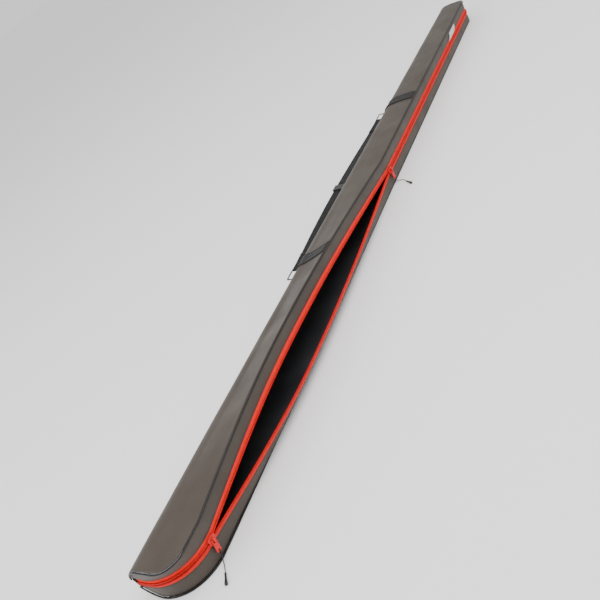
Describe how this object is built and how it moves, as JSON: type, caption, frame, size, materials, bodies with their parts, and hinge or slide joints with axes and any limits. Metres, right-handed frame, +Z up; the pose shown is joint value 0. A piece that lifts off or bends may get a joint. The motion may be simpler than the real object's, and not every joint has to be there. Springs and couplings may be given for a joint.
{
  "type": "semi-rigid single-pair ski bag",
  "caption": "Long slim tapered ski bag with padded D-section shell, two-way zip along its side and end, cord zip pulls, webbing bands and an adjustable carrying strap on the spine.",
  "frame": {"origin": "middle of the back panel's underside, on the surface that the bag lies on", "axes": "+X along the bag to its narrow far (top) end, +Z up from the back panel to the front panel, -Y to the zip, +Y to the rounded spine"},
  "size_m": [1.9582, 0.2073, 0.1118],
  "materials": {
    "shell_fabric": "smooth coated taupe",
    "foam_board": "closed-cell foam board",
    "lining_fabric": "black nylon, soft sheen",
    "zip_red": "red woven tape and nylon coil",
    "piping": "black corded piping, satin",
    "webbing": "dark grey woven webbing",
    "grey_tab": "light grey coated fabric",
    "red_metal": "gloss red enamel",
    "cord": "black braided cord",
    "grip_rubber": "moulded black rubber",
    "black_hardware": "moulded acetal"
  },
  "bodies": {
    "bag": {"front_panel": "shell_fabric", "back_panel": "shell_fabric", "spine_panel": "shell_fabric", "near_front_gusset": "shell_fabric", "side_front_gusset": "shell_fabric", "far_front_gusset": "shell_fabric", "near_back_gusset": "shell_fabric", "side_back_gusset": "shell_fabric", "far_back_gusset": "shell_fabric", "front_panel_foam": "foam_board", "back_panel_foam": "foam_board", "spine_panel_foam": "foam_board", "front_panel_lining": "lining_fabric", "back_panel_lining": "lining_fabric", "spine_panel_lining": "lining_fabric", "near_front_zip_tape": "zip_red", "lower_front_zip_tape": "zip_red", "upper_front_zip_tape": "zip_red", "shut_front_zip_tape": "zip_red", "far_front_zip_tape": "zip_red", "near_back_zip_tape": "zip_red", "lower_back_zip_tape": "zip_red", "upper_back_zip_tape": "zip_red", "shut_back_zip_tape": "zip_red", "far_back_zip_tape": "zip_red", "front_zip_coil": "zip_red", "back_zip_coil": "zip_red", "near_zip_stop": "webbing", "far_zip_stop": "webbing", "front_piping": "piping", "back_piping": "piping", "lower_band": "webbing", "upper_band": "webbing", "lower_ring_keeper": "webbing", "upper_ring_keeper": "webbing", "zip_end_tab": "grey_tab"},
    "lower_slider": {"lower_slider": "red_metal"},
    "lower_tab": {"lower_pull_tab": "red_metal"},
    "lower_pull": {"lower_cord_knot": "cord", "lower_pull_cord": "cord", "lower_cord_grip": "grip_rubber"},
    "upper_slider": {"upper_slider": "red_metal"},
    "upper_tab": {"upper_pull_tab": "red_metal"},
    "upper_pull": {"upper_cord_knot": "cord", "upper_pull_cord": "cord", "upper_cord_grip": "grip_rubber"},
    "strap": {"carrying_strap": "webbing", "lower_strap_ring": "black_hardware", "upper_strap_ring": "black_hardware"},
    "strap_adjuster": {"strap_adjuster": "black_hardware"}
  },
  "joints": [
    {"name": "upper_slider_slide", "type": "slide", "parent": "bag", "child": "upper_slider", "axis": [1, 0.0065, -0.0054], "range_m": [0, 0.78]},
    {"name": "upper_tab_hinge", "type": "hinge", "parent": "upper_slider", "child": "upper_tab", "pos_m": [0.11004, -0.05918, 0.03757], "axis": [0.9939, 0.0065, -0.1099], "range_deg": [-120, 0]},
    {"name": "upper_pull_hinge", "type": "hinge", "parent": "upper_tab", "child": "upper_pull", "pos_m": [0.10737, -0.0592, 0.01342], "axis": [0.9939, 0.0065, -0.1099], "range_deg": [-30, 0]},
    {"name": "lower_slider_turn", "type": "hinge", "parent": "bag", "child": "lower_slider", "pos_m": [-0.887, 0.029, 0.043], "axis": [0, 0, 1], "range_deg": [-80, 0]},
    {"name": "lower_tab_hinge", "type": "hinge", "parent": "lower_slider", "child": "lower_tab", "pos_m": [-0.887, -0.0657, 0.043], "axis": [0.9659, 0, -0.2588], "range_deg": [-120, 0]},
    {"name": "lower_pull_hinge", "type": "hinge", "parent": "lower_tab", "child": "lower_pull", "pos_m": [-0.89329, -0.0657, 0.01953], "axis": [0.9659, 0, -0.2588], "range_deg": [-30, 0]},
    {"name": "strap_swing", "type": "hinge", "parent": "bag", "child": "strap", "pos_m": [-0.24, 0.06024, 0.04105], "axis": [1, -0.0065, -0.0056], "range_deg": [-80, 75]},
    {"name": "strap_adjuster_slide", "type": "slide", "parent": "strap", "child": "strap_adjuster", "axis": [1, -0.0068, -0.0056], "range_m": [-0.035, 0.035]}
  ]
}
